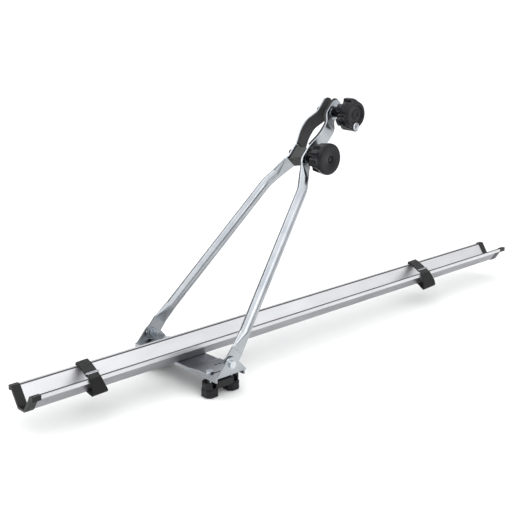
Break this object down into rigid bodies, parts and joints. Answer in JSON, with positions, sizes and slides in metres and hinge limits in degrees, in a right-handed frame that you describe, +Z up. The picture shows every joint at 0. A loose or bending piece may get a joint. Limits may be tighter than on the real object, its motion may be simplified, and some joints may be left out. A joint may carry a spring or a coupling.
{
  "type": "roof mounted bike carrier",
  "caption": "Wheel tray on a clamped base plate, with two leaning tube arms that meet in a padded jaw tightened by hand knobs, one with a lock.",
  "frame": {"origin": "middle of the underside of the seat pad, where it rests on the roof bar", "axes": "+X along the tray towards the end that the arms lean to, +Y along the roof bar away from the big knobs, +Z up"},
  "size_m": [1.3032, 0.2368, 0.4809],
  "materials": {
    "anodised_aluminium": "drawn and satin anodised",
    "black_plastic": "moulded, fine grain",
    "knob_plastic": "moulded, slightly glossy",
    "black_rubber": "moulded, dull",
    "zinc_steel": "pressed and drawn steel, bright zinc plated",
    "bright_zinc_steel": "turned and bright zinc plated",
    "chromed_brass": "chrome plated",
    "webbing": "woven polypropylene webbing",
    "buckle_wire": "bent wire, zinc plated"
  },
  "bodies": {
    "base": {"base_plate": "zinc_steel", "seat_pad": "black_rubber", "tray_floor": "anodised_aluminium", "tray_near_wall": "anodised_aluminium", "tray_far_wall": "anodised_aluminium", "left_end_cap": "black_plastic", "right_end_cap": "black_plastic", "tray_bolts": "bright_zinc_steel", "tray_nuts": "bright_zinc_steel", "pivot_bolts": "bright_zinc_steel", "pivot_nuts": "bright_zinc_steel", "clamp_bolts": "bright_zinc_steel"},
    "near_clamp": {"near_clamp_bar": "black_plastic"},
    "near_left_clamp_hand": {"near_left_clamp_knob": "knob_plastic"},
    "near_right_clamp_hand": {"near_right_clamp_knob": "knob_plastic"},
    "far_clamp": {"far_clamp_bar": "black_plastic"},
    "far_left_clamp_hand": {"far_left_clamp_knob": "knob_plastic"},
    "far_right_clamp_hand": {"far_right_clamp_knob": "knob_plastic"},
    "far_arm": {"far_arm_tube": "zinc_steel", "far_jaw_liner": "black_rubber", "spacer_block": "black_plastic", "lower_bolt": "bright_zinc_steel", "upper_bolt": "bright_zinc_steel", "bolt_end_caps": "black_plastic"},
    "near_arm": {"near_arm_tube": "zinc_steel", "near_jaw_liner": "black_rubber"},
    "lower_washer": {"lower_thrust_washer": "bright_zinc_steel"},
    "lower_hand_knob": {"lower_knob": "knob_plastic"},
    "upper_washer": {"upper_thrust_washer": "bright_zinc_steel"},
    "upper_hand_knob": {"upper_knob": "knob_plastic", "upper_knob_cap": "knob_plastic", "lock_sleeve": "chromed_brass"},
    "lock_core": {"lock_barrel": "chromed_brass"},
    "left_wheel_strap": {"left_strap": "webbing", "left_buckle": "buckle_wire"},
    "right_wheel_strap": {"right_strap": "webbing", "right_buckle": "buckle_wire"}
  },
  "joints": [
    {"name": "arm_fold", "type": "hinge", "parent": "base", "child": "far_arm", "pos_m": [0.003, 0, 0.02254], "axis": [0, 1, 0], "range_deg": [-42, 42]},
    {"name": "jaw_open", "type": "hinge", "parent": "far_arm", "child": "near_arm", "pos_m": [0.003, -0.109, 0.02254], "axis": [0.7431, 0, -0.6691], "range_deg": [0, 2.5]},
    {"name": "lower_washer_slide", "type": "slide", "parent": "far_arm", "child": "lower_washer", "axis": [0, -1, 0], "range_m": [0, 0.01924]},
    {"name": "lower_knob_spin", "type": "hinge", "parent": "lower_washer", "child": "lower_hand_knob", "pos_m": [0.28939, -0.05, 0.3406], "axis": [0, -1, 0], "range_deg": [0, 5541]},
    {"name": "upper_washer_slide", "type": "slide", "parent": "far_arm", "child": "upper_washer", "axis": [0, -1, 0], "range_m": [0, 0.02378]},
    {"name": "upper_knob_spin", "type": "hinge", "parent": "upper_washer", "child": "upper_hand_knob", "pos_m": [0.35831, -0.05, 0.41715], "axis": [0, -1, 0], "range_deg": [0, 6848]},
    {"name": "lock_turn", "type": "hinge", "parent": "upper_hand_knob", "child": "lock_core", "pos_m": [0.35831, -0.065, 0.39515], "axis": [0, -1, 0], "range_deg": [0, 90]},
    {"name": "near_clamp_slide", "type": "slide", "parent": "base", "child": "near_clamp", "axis": [0, 0, -1], "range_m": [0, 0.0101]},
    {"name": "near_left_clamp_spin", "type": "hinge", "parent": "near_clamp", "child": "near_left_clamp_hand", "pos_m": [-0.025, -0.088, -0.03], "axis": [0, 0, -1], "range_deg": [0, 2880]},
    {"name": "near_right_clamp_spin", "type": "hinge", "parent": "near_clamp", "child": "near_right_clamp_hand", "pos_m": [0.025, -0.088, -0.03], "axis": [0, 0, -1], "range_deg": [0, 2880]},
    {"name": "far_clamp_slide", "type": "slide", "parent": "base", "child": "far_clamp", "axis": [0, 0, -1], "range_m": [0, 0.0101]},
    {"name": "far_left_clamp_spin", "type": "hinge", "parent": "far_clamp", "child": "far_left_clamp_hand", "pos_m": [-0.025, 0.088, -0.03], "axis": [0, 0, -1], "range_deg": [0, 2880]},
    {"name": "far_right_clamp_spin", "type": "hinge", "parent": "far_clamp", "child": "far_right_clamp_hand", "pos_m": [0.025, 0.088, -0.03], "axis": [0, 0, -1], "range_deg": [0, 2880]},
    {"name": "left_strap_slide", "type": "slide", "parent": "base", "child": "left_wheel_strap", "axis": [1, 0, 0], "range_m": [-0.08, 0.14]},
    {"name": "right_strap_slide", "type": "slide", "parent": "base", "child": "right_wheel_strap", "axis": [1, 0, 0], "range_m": [-0.05, 0.2]}
  ],
  "couplings": [
    {"joint": "jaw_open", "follows": "lower_knob_spin", "ratio": 0.00045112},
    {"joint": "lower_washer_slide", "follows": "lower_knob_spin", "m_per_rad": 0.00019894},
    {"joint": "upper_washer_slide", "follows": "lower_knob_spin", "m_per_rad": 0.00024586},
    {"joint": "upper_knob_spin", "follows": "lower_knob_spin", "ratio": 1.2358},
    {"joint": "near_clamp_slide", "follows": "near_left_clamp_spin", "m_per_rad": 0.00019894},
    {"joint": "near_right_clamp_spin", "follows": "near_left_clamp_spin", "ratio": 1},
    {"joint": "far_clamp_slide", "follows": "far_left_clamp_spin", "m_per_rad": 0.00019894},
    {"joint": "far_right_clamp_spin", "follows": "far_left_clamp_spin", "ratio": 1}
  ]
}
